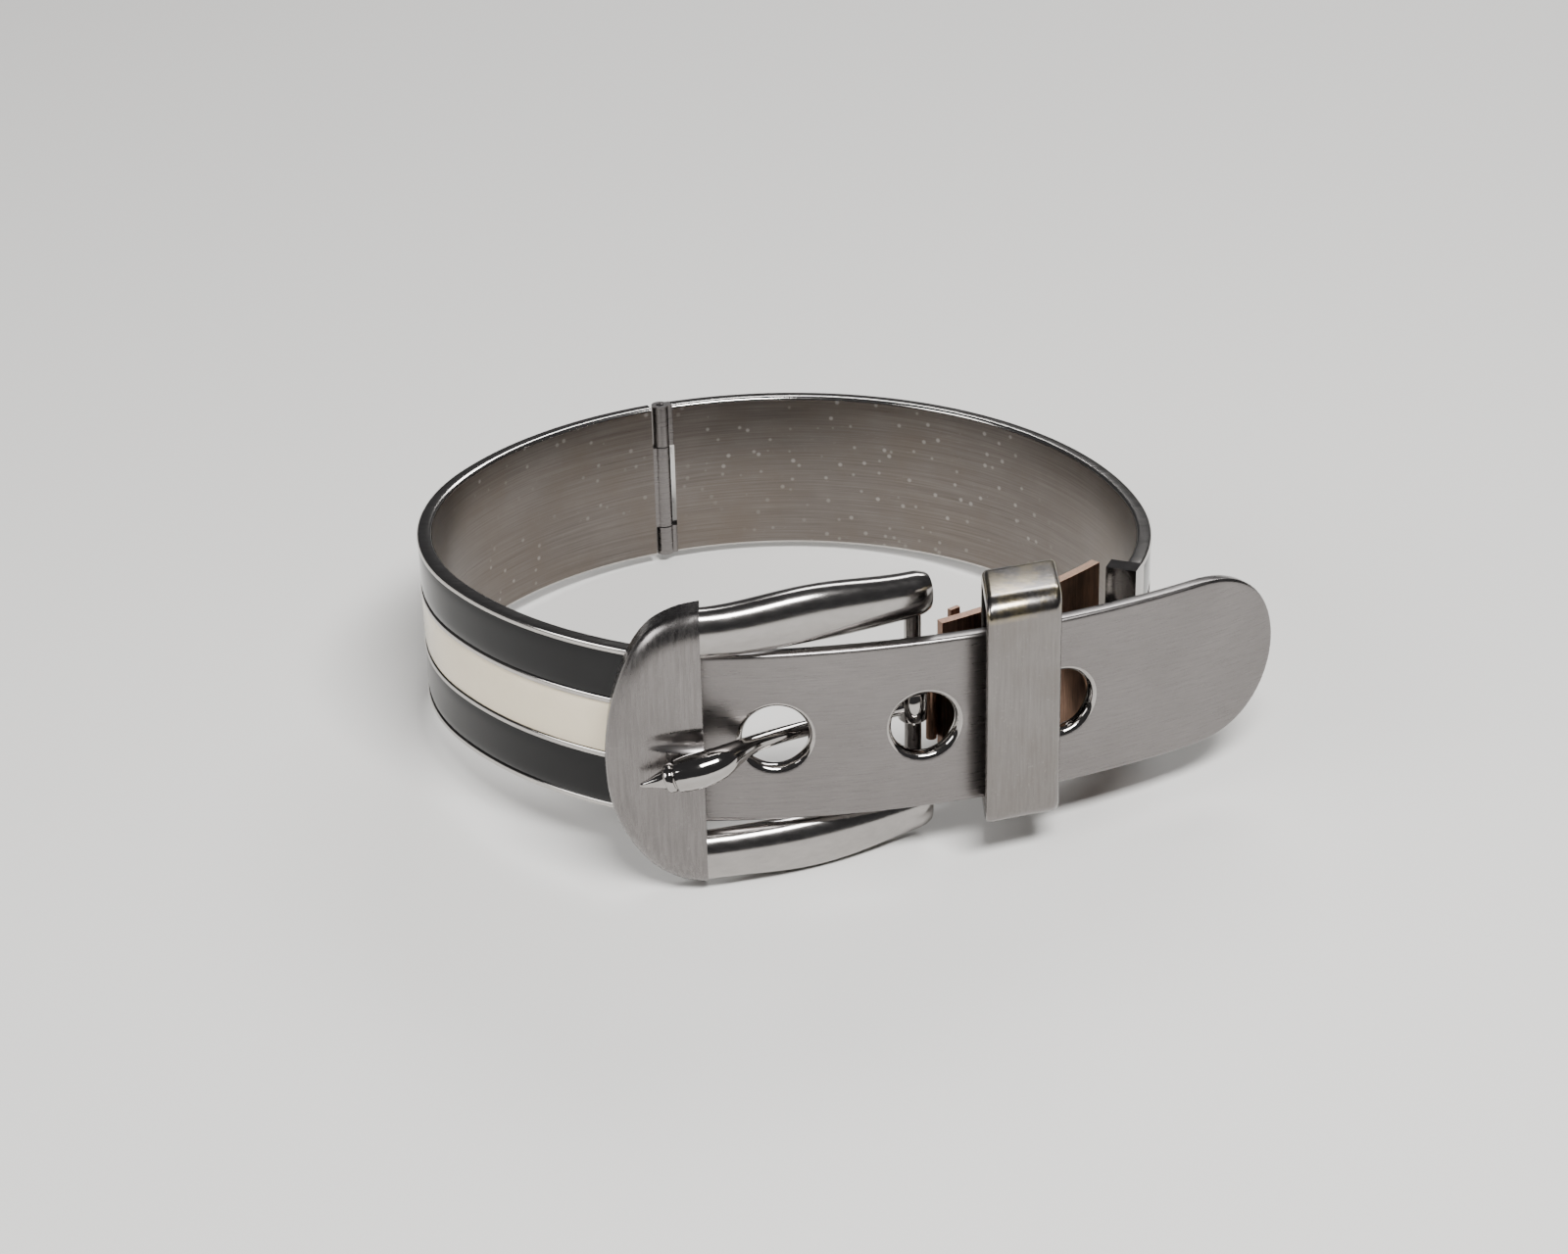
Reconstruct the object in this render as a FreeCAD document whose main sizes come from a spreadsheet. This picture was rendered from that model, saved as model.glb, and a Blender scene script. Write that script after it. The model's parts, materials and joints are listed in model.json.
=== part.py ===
import FreeCAD, Part
import os, math
from FreeCAD import Vector, Placement, Rotation

# Hinged oval bangle made like a buckled belt.
# Frame: +X runs along the strap towards its free tip, +Y from the buckle front
# to the back of the ring, +Z up.  Everything is drawn with the band upright
# (lower rim on Z = 0), and then one common placement leans the whole piece back
# so that it rests on the lower edge of the buckle and on the back of the rim.

os.makedirs("parts", exist_ok=True)
doc = FreeCAD.newDocument("buckle_bangle")

# ------------------------------------------------------------------ dimensions
sheet = doc.addObject("Spreadsheet::Sheet", "dims")
DIMS = [
    ("band_height", 15.0), ("wall", 1.3), ("enamel_depth", 0.45), ("enamel_sink", 0.03),
    ("rim_width", 0.6), ("rail_width", 0.6), ("black_width", 4.05), ("cream_width", 4.5),
    ("oval_turn", -10.0), ("oval_x", 0.15), ("oval_y", 5.1), ("half_length", 31.4),
    ("side_radius", 22.0), ("back_radius", 31.95), ("front_radius", 34.76),
    ("hinge_angle", 119.3), ("hinge_gap", 1.05), ("knuckle_radius", 0.8),
    ("pin_radius", 0.35), ("pin_play", 0.03), ("knuckle_low", 2.8), ("knuckle_high", 11.0),
    ("knuckle_play", 0.1), ("knuckle_web", 1.0),
    ("left_end_angle", 259.9), ("right_end_angle", -12.5), ("end_border", 0.8),
    ("plate_x", -4.6), ("plate_y", 55.2), ("plate_radius", 75.0), ("plate_wall", 1.2),
    ("plate_start", -3.9), ("plate_end", 37.6), ("tip_length", 9.0),
    ("hole_radius", 2.7), ("hole_first", 2.87), ("hole_second", 12.1), ("hole_third", 21.1),
    ("hole_rim", 0.55),
    ("keeper_angle", 17.86), ("keeper_width", 16.0), ("keeper_left", 15.9), ("keeper_right", 22.0), ("keeper_top", 3.9), ("keeper_out", 2.7), ("keeper_in", 4.6),
    ("keeper_wall", 1.2), ("keeper_lip", 1.5), ("keeper_round", 1.7),
    ("bar_x", 10.3), ("bar_y", -14.4), ("bar_radius", 0.7), ("bar_low", -1.8), ("bar_length", 18.6),
    ("crescent_front", -22.4), ("crescent_back", -19.3), ("crescent_inner", -6.6),
    ("crescent_edge", 0.7), ("groove_radius", 1.3), ("groove_length", 4.6),
    ("arm_start_y", -20.75), ("arm_deep", 2.7), ("arm_tall", 4.2), ("arm_offset", 2.5), ("arm_bulge", 0.7),
    ("eye_radius", 1.2), ("eye_play", 0.03), ("eye_tall", 2.6), ("droop", 5.5), ("neck_radius", 0.65),
    ("tongue_radius", 50.2), ("tongue_wall", 0.8), ("tongue_tip", -62.3), ("tongue_root", -42.6),
    ("tongue_inset", 0.8), ("leaf_wall", 0.4), ("leaf_length", 6.5), ("leaf_spread", 11.0),
    ("leaf_low", 3.5), ("leaf_tall", 8.0), ("lean", -4.96),
]
for i, (name, value) in enumerate(DIMS, 1):
    sheet.set("A%d" % i, name)
    sheet.set("B%d" % i, str(value))
    sheet.setAlias("B%d" % i, name)
doc.recompute()
S = {name: float(sheet.get(name)) for name, _ in DIMS}
bot_z = 0.0
z_a = S["rim_width"]
z_b = z_a + S["black_width"]
z_c = z_b + S["rail_width"]
z_d = z_c + S["cream_width"]
z_e = z_d + S["rail_width"]
z_f = z_e + S["black_width"]

# -------------------------------------------------------------- common placement
tilt = Rotation(Vector(1, 0, 0), S["lean"])


def leaned(shift):
    return Placement(shift, tilt)


# ------------------------------------------------------------------ plan geometry
turn = math.radians(S["oval_turn"])
half = S["half_length"] - S["side_radius"]
back_c = -math.sqrt((S["back_radius"] - S["side_radius"]) ** 2 - half ** 2)
front_c = math.sqrt((S["front_radius"] - S["side_radius"]) ** 2 - half ** 2)
a_back = math.degrees(math.atan2(half, -back_c))
a_front = math.degrees(math.atan2(half, front_c))


def from_oval(x, y):
    return Vector(S["oval_x"] + math.cos(turn) * x - math.sin(turn) * y,
                  S["oval_y"] + math.sin(turn) * x + math.cos(turn) * y, 0)


BACK = (from_oval(0, back_c), S["back_radius"])
LEFT = (from_oval(-half, 0), S["side_radius"])
FRONT = (from_oval(0, front_c), S["front_radius"])
RIGHT = (from_oval(half, 0), S["side_radius"])
mid_wall = S["wall"] / 2
pin_r = S["back_radius"] - mid_wall
pin_a = math.radians(S["hinge_angle"] + S["oval_turn"])
PIN = BACK[0] + Vector(math.cos(pin_a), math.sin(pin_a), 0) * pin_r
gap_deg = math.degrees(S["hinge_gap"] / pin_r)


def arcs_between(parts):
    """parts: (centre and radius, start, end) in degrees in the oval's own frame."""
    return [(c, r, a0 + S["oval_turn"], a1 + S["oval_turn"]) for (c, r), a0, a1 in parts]


LEFT_PATH = arcs_between([(BACK, S["hinge_angle"] + gap_deg, 90 + a_back),
                          (LEFT, 90 + a_back, 270 - a_front),
                          (FRONT, 270 - a_front, S["left_end_angle"])])
RIGHT_PATH = arcs_between([(RIGHT, S["right_end_angle"], 90 - a_back),
                           (BACK, 90 - a_back, S["hinge_angle"] - gap_deg)])


def on(c, r, deg):
    a = math.radians(deg)
    return c + Vector(math.cos(a), math.sin(a), 0) * r


def trimmed(path, start, end):
    """The same path with its ends drawn in by start and end millimetres."""
    p = list(path)
    c, r, a0, a1 = p[0]
    p[0] = (c, r, a0 + math.degrees(start / r), a1)
    c, r, a0, a1 = p[-1]
    p[-1] = (c, r, a0, a1 - math.degrees(end / r))
    return p


def strip(path, o1, o2):
    """Closed outline of a strip between two offsets inside the path."""
    geo = []
    for c, r, a0, a1 in path:
        geo.append(Part.ArcOfCircle(Part.Circle(c, Vector(0, 0, 1), r - o1), math.radians(a0), math.radians(a1)))
    for c, r, a0, a1 in path:
        geo.append(Part.ArcOfCircle(Part.Circle(c, Vector(0, 0, 1), r - o2), math.radians(a0), math.radians(a1)))
    for c, r, a0, a1, end in ((*path[0], 2), (*path[-1], 3)):
        a = a0 if end == 2 else a1
        geo.append(Part.LineSegment(on(c, r - o1, a), on(c, r - o2, a)))
    return geo


def plane_of(body, role):
    return [f for f in body.Origin.OriginFeatures if f.Role == role][0]


def new_body(label):
    body = doc.addObject("PartDesign::Body", label)
    body.Label = label
    return body


def pad(body, geometry, z0, length, expression=None, z_expression=None, name="pad"):
    sk = body.newObject("Sketcher::SketchObject", name + "_sketch")
    sk.AttachmentSupport = [(plane_of(body, "XY_Plane"), "")]
    sk.MapMode = "FlatFace"
    sk.AttachmentOffset = Placement(Vector(0, 0, z0), Rotation())
    if z_expression:
        sk.setExpression(".AttachmentOffset.Base.z", z_expression)
    for g in geometry:
        sk.addGeometry(g, False)
    p = body.newObject("PartDesign::Pad", name)
    p.Profile = sk
    p.Length = length
    if expression:
        p.setExpression("Length", expression)
    body.Tip = p
    return p


NODES = []          # (node name, object)


def keep(label, obj):
    obj.Label = label
    NODES.append((label, obj))
    return obj


# ---------------------------------------------------------------------- the bands
def make_band(label, path):
    body = new_body(label)
    pad(body, strip(path, S["enamel_depth"], S["wall"]), 0, S["band_height"], "dims.band_height", name="skin")
    rim = strip(path, 0, S["enamel_depth"])
    pad(body, rim, 0, S["rim_width"], "dims.rim_width", name="lower_rim")
    pad(body, rim, z_b, S["rail_width"], "dims.rail_width", "dims.rim_width + dims.black_width", name="lower_rail")
    pad(body, rim, z_d, S["rail_width"], "dims.rail_width",
        "dims.rim_width + dims.black_width + dims.rail_width + dims.cream_width", name="upper_rail")
    pad(body, rim, z_f, S["rim_width"], "dims.rim_width", "dims.band_height - dims.rim_width", name="upper_rim")
    c, r, a0, a1 = path[0]
    start = [(c, r, a0, a0 + math.degrees(S["end_border"] / r))]
    c, r, a0, a1 = path[-1]
    end = [(c, r, a1 - math.degrees(S["end_border"] / r), a1)]
    pad(body, strip(start, 0, S["enamel_depth"]), 0, S["band_height"], "dims.band_height", name="start_border")
    pad(body, strip(end, 0, S["enamel_depth"]), 0, S["band_height"], "dims.band_height", name="end_border")
    return keep(label, body)


def make_enamel(label, path, z0, width, expression, z_expression):
    body = new_body(label)
    inner = trimmed(path, S["end_border"], S["end_border"])
    pad(body, strip(inner, S["enamel_sink"], S["enamel_depth"]), z0, width, expression, z_expression, name="fill")
    return keep(label, body)


for side, path in (("left", LEFT_PATH), ("right", RIGHT_PATH)):
    make_band(side + "_band", path)
    make_enamel(side + "_black_enamel_lower", path, z_a, S["black_width"], "dims.black_width", "dims.rim_width")
    make_enamel(side + "_cream_enamel", path, z_c, S["cream_width"], "dims.cream_width",
                "dims.rim_width + dims.black_width + dims.rail_width")
    make_enamel(side + "_black_enamel_upper", path, z_e, S["black_width"], "dims.black_width",
                "dims.band_height - dims.rim_width - dims.black_width")


# ---------------------------------------------------------------- back hinge
def cyl(name, base, radius, height, radius_expr=None, height_expr=None):
    o = doc.addObject("Part::Cylinder", name)
    o.Radius = radius
    o.Height = height
    if radius_expr:
        o.setExpression("Radius", radius_expr)
    if height_expr:
        o.setExpression("Height", height_expr)
    o.Placement = Placement(base, Rotation())
    return o


def web(name, side, z0, height, hexpr):
    """Flat web from the pin axis to the end of its band, side +1 left, -1 right."""
    o = doc.addObject("Part::Box", name)
    o.Length = S["hinge_gap"]
    o.setExpression("Length", "dims.hinge_gap")
    o.Width = S["knuckle_web"]
    o.setExpression("Width", "dims.knuckle_web")
    o.Height = height
    o.setExpression("Height", hexpr)
    ang = S["hinge_angle"] + S["oval_turn"] + (90 if side > 0 else -90)
    rot = Rotation(Vector(0, 0, 1), ang)
    base = PIN + rot.multVec(Vector(0, -S["knuckle_web"] / 2, 0)) + Vector(0, 0, z0)
    o.Placement = Placement(base, rot)
    return o


def fuse(name, objs):
    o = doc.addObject("Part::MultiFuse", name)
    o.Shapes = objs
    return o


def cut(name, base, tool):
    o = doc.addObject("Part::Cut", name)
    o.Base = base
    o.Tool = tool
    return o


def put(shape_name, shape):
    o = doc.addObject("Part::Feature", shape_name)
    o.Shape = shape
    return o


def at_z(p, z):
    return Vector(p.x, p.y, z)


kl, kh, kp = S["knuckle_low"], S["knuckle_high"], S["knuckle_play"]
m_h = kh - kl - 2 * kp
mid = fuse("middle_barrel", [
    cyl("middle_tube", at_z(PIN, kl + kp), S["knuckle_radius"], m_h, "dims.knuckle_radius",
        "dims.knuckle_high - dims.knuckle_low - 2 * dims.knuckle_play"),
    web("middle_web", 1, kl + kp, m_h, "dims.knuckle_high - dims.knuckle_low - 2 * dims.knuckle_play")])
band = dict(NODES)
keep("hinge_knuckle_middle", cut("hinge_knuckle_middle", mid, fuse("middle_tools", [cyl(
    "middle_bore", at_z(PIN, -1), S["pin_radius"] + S["pin_play"], 20, "dims.pin_radius + dims.pin_play"),
    band["left_band"]])))
outer = fuse("outer_barrels", [
    cyl("low_tube", at_z(PIN, 0), S["knuckle_radius"], kl, "dims.knuckle_radius", "dims.knuckle_low"),
    web("low_web", -1, 0, kl, "dims.knuckle_low"),
    cyl("high_tube", at_z(PIN, kh), S["knuckle_radius"], 15 - kh, "dims.knuckle_radius",
        "dims.band_height - dims.knuckle_high"),
    web("high_web", -1, kh, 15 - kh, "dims.band_height - dims.knuckle_high")])
keep("hinge_knuckles_outer", cut("hinge_knuckles_outer", outer, fuse("outer_tools", [cyl(
    "outer_bore", at_z(PIN, -1), S["pin_radius"], 20, "dims.pin_radius"), band["right_band"]])))
keep("hinge_pin", cyl("hinge_pin", at_z(PIN, 0.05), S["pin_radius"], 14.9, "dims.pin_radius", "dims.band_height - 0.1"))

# ---------------------------------------------------------------- strap plate
PC = Vector(S["plate_x"], S["plate_y"], 0)


def plate_dir(deg):
    a = math.radians(deg)
    return Vector(math.sin(a), -math.cos(a), 0)


def on_plate(deg, depth=0.0):
    return PC + plate_dir(deg) * (S["plate_radius"] - depth)


PLATE_PATH = [(PC, S["plate_radius"], 270 + S["plate_start"], 270 + S["plate_end"])]
plate_body = new_body("strap_blank")
pad(plate_body, strip(PLATE_PATH, 0, S["plate_wall"]), 0, S["band_height"], "dims.band_height", name="strap")
# outline of the rounded free end, swept square to the strap near its tip
tip_deg = S["plate_end"] - math.degrees(S["tip_length"] / 2 / S["plate_radius"])
n_dir = plate_dir(tip_deg)
t_dir = Vector(-n_dir.y, n_dir.x, 0)
tip_mid = on_plate(S["plate_end"])
tip_t = tip_mid.dot(t_dir)
hgt = S["band_height"]


def tp(along, z):
    v = t_dir * (tip_t + along) + n_dir * (tip_mid.dot(n_dir) - 12)
    return Vector(v.x, v.y, z)


tl = S["tip_length"]
ell = []
for k in range(0, 25):
    a = math.pi * k / 24 - math.pi / 2
    ell.append(tp(-tl + (tl - 0.05) * math.cos(a) ** 0.85 if math.cos(a) > 1e-6 else -tl,
                  hgt / 2 + (hgt / 2 + 0.0) * math.sin(a)))
curve = Part.BSplineCurve()
curve.interpolate(ell)
p_lo, p_hi = ell[0], ell[-1]
q_lo, q_hi = tp(-80, 0), tp(-80, hgt)
tip_wire = Part.Wire([curve.toShape(), Part.LineSegment(p_hi, q_hi).toShape(),
                      Part.LineSegment(q_hi, q_lo).toShape(), Part.LineSegment(q_lo, p_lo).toShape()])
tip_tool = put("strap_outline", Part.Face(tip_wire).extrude(n_dir * 60))
tip_tool.Placement = Placement(n_dir * -25, Rotation())
tipped = doc.addObject("Part::Common", "strap_tipped")
tipped.Base = plate_body
tipped.Tool = tip_tool


def radial(o, deg, depth, z):
    """Stand a primitive on the strap's axis, pointing outwards."""
    d = plate_dir(deg)
    o.Placement = Placement(at_z(on_plate(deg, depth), z), Rotation(Vector(0, 0, 1), d))


drills = []
for k, alias in enumerate(("hole_first", "hole_second", "hole_third")):
    c = doc.addObject("Part::Cylinder", "drill_%d" % k)
    c.setExpression("Radius", "dims.hole_radius")
    c.Height = 4
    radial(c, S[alias], 2.5, hgt / 2)
    f = doc.addObject("Part::Cone", "flare_%d" % k)
    f.setExpression("Radius1", "dims.hole_radius")
    f.setExpression("Radius2", "dims.hole_radius + dims.hole_rim * 2")
    f.setExpression("Height", "dims.hole_rim * 2")
    radial(f, S[alias], S["hole_rim"], hgt / 2)
    drills += [c, f]
keep("strap_plate", cut("strap_plate", tipped, fuse("strap_holes", drills)))

# ---------------------------------------------------------------- keeper loop
kd = S["keeper_angle"]
k_n = plate_dir(kd)
k_t = Vector(-k_n.y, k_n.x, 0)
k_rot = Rotation(Vector(0, 0, 1), kd)


def keeper_box(name, grow, v_in, v_out, z0, z1):
    o = doc.addObject("Part::Box", name)
    o.Length = S["keeper_width"] + 2 * grow
    o.Width = v_in + v_out
    o.Height = z1 - z0
    base = on_plate(kd) + k_n * v_out - k_t * (S["keeper_width"] / 2 + grow)
    o.Placement = Placement(at_z(base, z0), k_rot)
    return o


k_out = keeper_box("keeper_outer", 0, S["keeper_in"], S["keeper_out"], -S["keeper_lip"], hgt + S["keeper_top"])
k_out.setExpression("Length", "dims.keeper_width")
k_out.setExpression("Width", "dims.keeper_in + dims.keeper_out")
k_out.setExpression("Height", "dims.band_height + dims.keeper_lip + dims.keeper_top")
doc.recompute()
k_f = doc.addObject("Part::Fillet", "keeper_rounded")
k_f.Base = k_out
long_edges = []
for i, e in enumerate(k_out.Shape.Edges, 1):
    d = (e.Vertexes[1].Point - e.Vertexes[0].Point)
    if abs(d.normalize().dot(k_t)) > 0.99:
        long_edges.append((i, S["keeper_round"], S["keeper_round"]))
k_f.Edges = long_edges
k_in = keeper_box("keeper_passage", 1, S["keeper_in"] - S["keeper_wall"], S["keeper_out"] - S["keeper_wall"], 0,
                  hgt + S["keeper_top"] - S["keeper_wall"])
k_in.setExpression("Height", "dims.band_height + dims.keeper_top - dims.keeper_wall")
k_side = doc.addObject("Part::Box", "keeper_sides")
k_side.setExpression("Length", "dims.keeper_right - dims.keeper_left")
k_side.Width = 40
k_side.Height = 40
k_side.Placement = Placement(Vector(S["keeper_left"], -35, -10), Rotation())
k_cut = cut("keeper_long", k_f, k_in)
k_com = doc.addObject("Part::Common", "keeper_trimmed")
k_com.Base = k_cut
k_com.Tool = k_side
keep("keeper_loop", k_com)

# ---------------------------------------------------------------- buckle crescent
cres = new_body("crescent_blank")
sk = cres.newObject("Sketcher::SketchObject", "crescent_sketch")
sk.AttachmentSupport = [(plane_of(cres, "XZ_Plane"), "")]
sk.MapMode = "FlatFace"
sk.AttachmentOffset = Placement(Vector(0, 0, -S["crescent_back"]), Rotation())
ci = S["crescent_inner"]
outline = [(ci, 19.75), (-8.6, 19.3), (-10.7, 18.1), (-12.3, 15.9), (-13.5, 12.9), (-14.25, 9.6),
           (-14.45, 6.3), (-14.1, 2.9), (-13.0, -0.1), (-11.2, -2.7), (-9.0, -4.2), (ci, -4.75)]
sp = Part.BSplineCurve()
sp.interpolate([Vector(x, z, 0) for x, z in outline])
sk.addGeometry(sp, False)
sk.addGeometry(Part.LineSegment(Vector(ci, -4.75, 0), Vector(ci, 19.75, 0)), False)
cp = cres.newObject("PartDesign::Pad", "crescent_pad")
cp.Profile = sk
cp.Length = S["crescent_back"] - S["crescent_front"]
cp.setExpression("Length", "dims.crescent_back - dims.crescent_front")
cres.Tip = cp
doc.recompute()
bb = cres.Shape.BoundBox
if bb.YMin > S["crescent_front"] + 0.01 or bb.YMax > S["crescent_back"] + 0.01:
    cp.Reversed = not cp.Reversed
    doc.recompute()
    bb = cres.Shape.BoundBox
assert abs(bb.YMin - S["crescent_front"]) < 0.01 and abs(bb.YMax - S["crescent_back"]) < 0.01, bb
# soften the outer front edge
front_edges = []
for i, e in enumerate(cp.Shape.Edges, 1):
    b = e.BoundBox
    if b.YMax < S["crescent_front"] + 0.01 and b.XMax - b.XMin > 2:
        front_edges.append("Edge%d" % i)
fl = cres.newObject("PartDesign::Fillet", "crescent_round")
fl.Base = (cp, front_edges)
fl.Radius = S["crescent_edge"]
fl.setExpression("Radius", "dims.crescent_edge")
cres.Tip = fl
# rest groove for the prong, running in from the inner edge
gr = doc.addObject("Part::Cylinder", "groove_tool")
gr.setExpression("Radius", "dims.groove_radius")
gr.Height = S["groove_length"] + 2
gr.setExpression("Height", "dims.groove_length + 2")
gr.Placement = Placement(Vector(ci + 2, S["crescent_front"] - 0.45, hgt / 2 + 1.3),
                         Rotation(Vector(0, 0, 1), Vector(-1, -0.12, 0)))
seat = fuse("crescent_tools", [NODES[0][1], doc.getObject("strap_plate"), gr])
crescent = keep("buckle_crescent", cut("buckle_crescent", cres, seat))


# ---------------------------------------------------------------- buckle arms and prong bar
bar = keep("prong_bar", cyl("prong_bar", Vector(S["bar_x"], S["bar_y"], S["bar_low"]), S["bar_radius"], S["bar_length"],
                            "dims.bar_radius", "dims.bar_length"))


def oval_section(c, t, deep, tall, sign):
    """Closed half-round section square to the arm's run t, flat side inwards."""
    n = Vector(t.y, -t.x, 0)
    pts = []
    N = 20
    for k in range(N):
        a = 2 * math.pi * k / N
        ca, sa = math.cos(a), math.sin(a)
        y = (abs(ca) ** 0.85) * (1 if ca > 0 else -1) * (deep * 0.5 if ca > 0 else deep * 0.5)
        z = (abs(sa) ** 0.85) * (1 if sa > 0 else -1) * tall * 0.5
        pts.append(c + n * y + Vector(0, 0, z * sign))
    b = Part.BSplineCurve()
    b.interpolate(pts, PeriodicFlag=True)
    return Part.Wire([b.toShape()])


def make_arm(label, sign):
    x0, y0 = ci, S["arm_start_y"]
    x1, y1 = S["bar_x"] + 1.2, S["bar_y"] + 0.75
    secs = []
    N = 7
    for k in range(N):
        s = k / (N - 1)
        x = x0 + (x1 - x0) * s
        y = y0 + (y1 - y0) * (0.55 * s + 0.45 * s * s)
        slope = (y1 - y0) * (0.55 + 0.9 * s) / (x1 - x0)
        t = Vector(1, slope, 0).normalize()
        if k == 0:
            t = Vector(1, 0, 0)
        bulge = S["arm_bulge"] * math.sin(math.pi * s) ** 2
        zc = hgt / 2 + sign * (hgt / 2 + S["arm_offset"] + bulge / 2 - 0.25 * s)
        tall = S["arm_tall"] + bulge - 0.5 * s
        deep = S["arm_deep"] * (1 + 0.1 * math.sin(math.pi * s) - 0.1 * s)
        secs.append(oval_section(Vector(x, y, zc), t, deep, tall, sign))
    raw = put(label + "_blank", Part.makeLoft(secs, True, False))
    return keep(label, cut(label, raw, bar))


make_arm("buckle_arm_upper", 1)
make_arm("buckle_arm_lower", -1)

# ---------------------------------------------------------------- prong
dr = math.tan(math.radians(S["droop"]))
nr = S["neck_radius"]
PR = [(9.7, -14.55, 1.1, 0), (7.5, -15.25, 1.05, 0), (4.6, -16.0, 1.0, 0), (2.4, -16.7, 1.0, 0.12),
      (1.0, -17.4, 1.0, 0.35), (-0.9, -18.95, 1.0, 0.85), (-2.75, -20.75, 1.05, 1.35), (-4.3, -22.45, 1.5, 1.55),
      (-5.4, -23.5, 1.95, 1.52), (-6.7, -24.0, 2.12, 1.38), (-8.6, -24.05, 2.1, 1.08)]
# x, y, thickness as a multiple of the neck, and rise above the straight droop line


def pz(x):
    return hgt / 2 - (S["bar_x"] - x) * dr


pts = [Vector(x, y, pz(x) + rise) for x, y, k, rise in PR]
tip_run = Vector(-1, 0.1, -0.31).normalize()
rings = []
for k, (x, y, f, rise) in enumerate(PR):
    run = pts[min(k + 1, len(pts) - 1)] - pts[max(k - 1, 0)]
    if k == len(PR) - 1:
        run = tip_run
    rings.append(Part.Wire([Part.Circle(pts[k], run, f * nr).toShape()]))
shank = Part.makeLoft(rings, True, False)
collar = Part.makeCylinder(1.1, 1.2, pts[-1] - tip_run * 0.3, tip_run)
point = Part.makeCone(0.8, 0.16, 2.5, pts[-1] + tip_run * 0.7, tip_run)
shank = put("prong_shank", shank.fuse([collar, point]))
eye = cyl("prong_eye", Vector(S["bar_x"], S["bar_y"], hgt / 2 - S["eye_tall"] / 2), S["eye_radius"], S["eye_tall"],
          "dims.eye_radius", "dims.eye_tall")
eye_bore = cyl("prong_eye_bore", Vector(S["bar_x"], S["bar_y"], 0), S["bar_radius"] + S["eye_play"], hgt,
               "dims.bar_radius + dims.eye_play")
keep("prong", cut("prong", fuse("prong_blank", [shank, eye]), eye_bore))

# ---------------------------------------------------------------- clasp tongue, its spring leaf and the end cap
TP = [(PIN, S["tongue_radius"] + S["tongue_wall"] / 2, S["tongue_tip"], S["tongue_root"])]
tb = new_body("tongue_blank")
pad(tb, strip(TP, 0, S["tongue_wall"]), S["tongue_inset"], hgt - 2 * S["tongue_inset"],
    "dims.band_height - 2 * dims.tongue_inset", "dims.tongue_inset", name="tongue")
right_band = [o for n, o in NODES if n == "right_band"][0]
tongue = keep("clasp_tongue", cut("clasp_tongue", tb, right_band))
e_deg = S["right_end_angle"] + S["oval_turn"]
e_out = on(RIGHT[0], RIGHT[1], e_deg)
e_n = Vector(math.cos(math.radians(e_deg)), math.sin(math.radians(e_deg)), 0)
e_t = Vector(e_n.y, -e_n.x, 0)      # onwards past the band's end
cap = doc.addObject("Part::Box", "cap_blank")
cap.Length = 1.6
cap.Width = 2.6
cap.setExpression("Height", "dims.band_height")
e_rot = Rotation(Vector(0, 0, 1), math.degrees(math.atan2(e_t.y, e_t.x)))
cap.Placement = Placement(e_out, e_rot)
doc.recompute()
if (cap.Shape.CenterOfMass - e_out).dot(e_n) > 0:
    cap.Placement = Placement(e_out - e_n * 2.6, e_rot)
keep("right_band_end_cap", cut("right_band_end_cap", cap, fuse("cap_tools", [right_band, tongue])))

tt = math.radians(S["tongue_tip"])
r_out = S["tongue_radius"] + S["tongue_wall"] / 2
tip_dir = Vector(math.cos(tt), math.sin(tt), 0)
along = Vector(-tip_dir.y, tip_dir.x, 0)      # towards the band
ROOT = PIN + tip_dir * (S["tongue_radius"] - 0.45) - along * 0.55
lf = doc.addObject("Part::Box", "leaf_strip")
lf.setExpression("Length", "dims.leaf_length")
lf.setExpression("Width", "dims.leaf_wall")
lf.setExpression("Height", "dims.leaf_tall")
sp_ang = math.degrees(math.atan2(along.y, along.x)) + S["leaf_spread"]
l_rot = Rotation(Vector(0, 0, 1), sp_ang)
l_base = ROOT + l_rot.multVec(Vector(0, 0.45 - S["leaf_wall"], 0))
lf.Placement = Placement(at_z(l_base, S["leaf_low"]), l_rot)
lr = cyl("leaf_bend", at_z(ROOT, S["leaf_low"]), 0.45, S["leaf_tall"], None, "dims.leaf_tall")
lt = doc.addObject("Part::Box", "leaf_tab")
lt.Length = 1.0
lt.setExpression("Width", "dims.leaf_wall")
lt.Height = 3.2
lt.Placement = Placement(at_z(l_base + l_rot.multVec(Vector(2.2, 0, 0)), 11.2), l_rot)
keep("clasp_spring_leaf", fuse("clasp_spring_leaf", [lf, lr, lt]))

# ---------------------------------------------------------------- lap behind the joint of band and strap
lap = doc.addObject("Part::Box", "lap_blank")
lap.Length = 5.0
lap.Width = 1.4
lap.Height = 12.0
lap.Placement = Placement(Vector(-12.4, -17.4, 1.5), Rotation(Vector(0, 0, 1), -19))
keep("strap_joint_lap", cut("strap_joint_lap", lap, fuse("lap_tools", [NODES[0][1], doc.getObject("strap_plate")])))

doc.recompute()
for o in doc.Objects:
    if any(s in ("Invalid", "Error") for s in o.State):
        raise SystemExit("failed object: %s %s" % (o.Name, o.State))

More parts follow.
